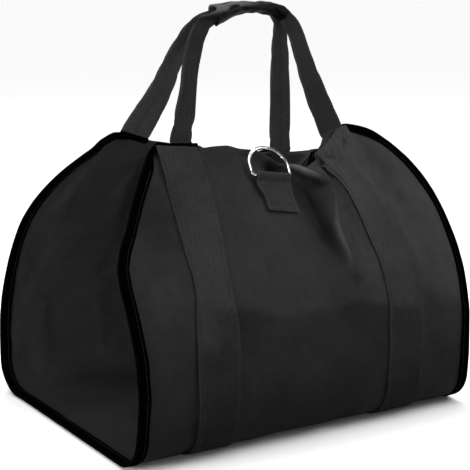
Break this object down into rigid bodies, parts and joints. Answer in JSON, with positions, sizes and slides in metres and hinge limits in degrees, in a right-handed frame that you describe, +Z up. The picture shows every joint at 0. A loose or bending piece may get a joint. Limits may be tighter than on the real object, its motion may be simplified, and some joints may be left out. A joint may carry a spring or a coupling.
{
  "type": "open-ended log carrier sling",
  "caption": "Black cloth log carrier: an open-ended sling with edge tape, two wide webbing straps, handle loops joined in a padded grip, and a D-ring on the front.",
  "frame": {"origin": "middle of the bottom, on the plane the straps rest on", "axes": "+X from the left rim to the right rim as seen from the front, -Y the front with the ring, +Z up"},
  "size_m": [0.4544, 0.3646, 0.4782],
  "materials": {
    "cloth": "plain weave, matt, slightly worn",
    "tape": "flat woven edge tape, matt",
    "webbing": "ribbed webbing, low sheen",
    "wrap": "coated wrap, satin, creased",
    "metal": "nickel plated, polished"
  },
  "bodies": {
    "bag": {"panel": "cloth", "binding_left": "tape", "binding_right": "tape", "strap_left": "webbing", "strap_right": "webbing", "handle_front": "webbing", "handle_back": "webbing", "grip_wrap": "wrap", "d_ring_tab": "webbing"},
    "ring": {"d_ring": "metal"}
  },
  "joints": [
    {"name": "ring_swing", "type": "hinge", "parent": "bag", "child": "ring", "pos_m": [-0.00845, -0.10111, 0.29103], "axis": [0.9838, -0.1193, -0.1335], "range_deg": [0, 170]}
  ]
}
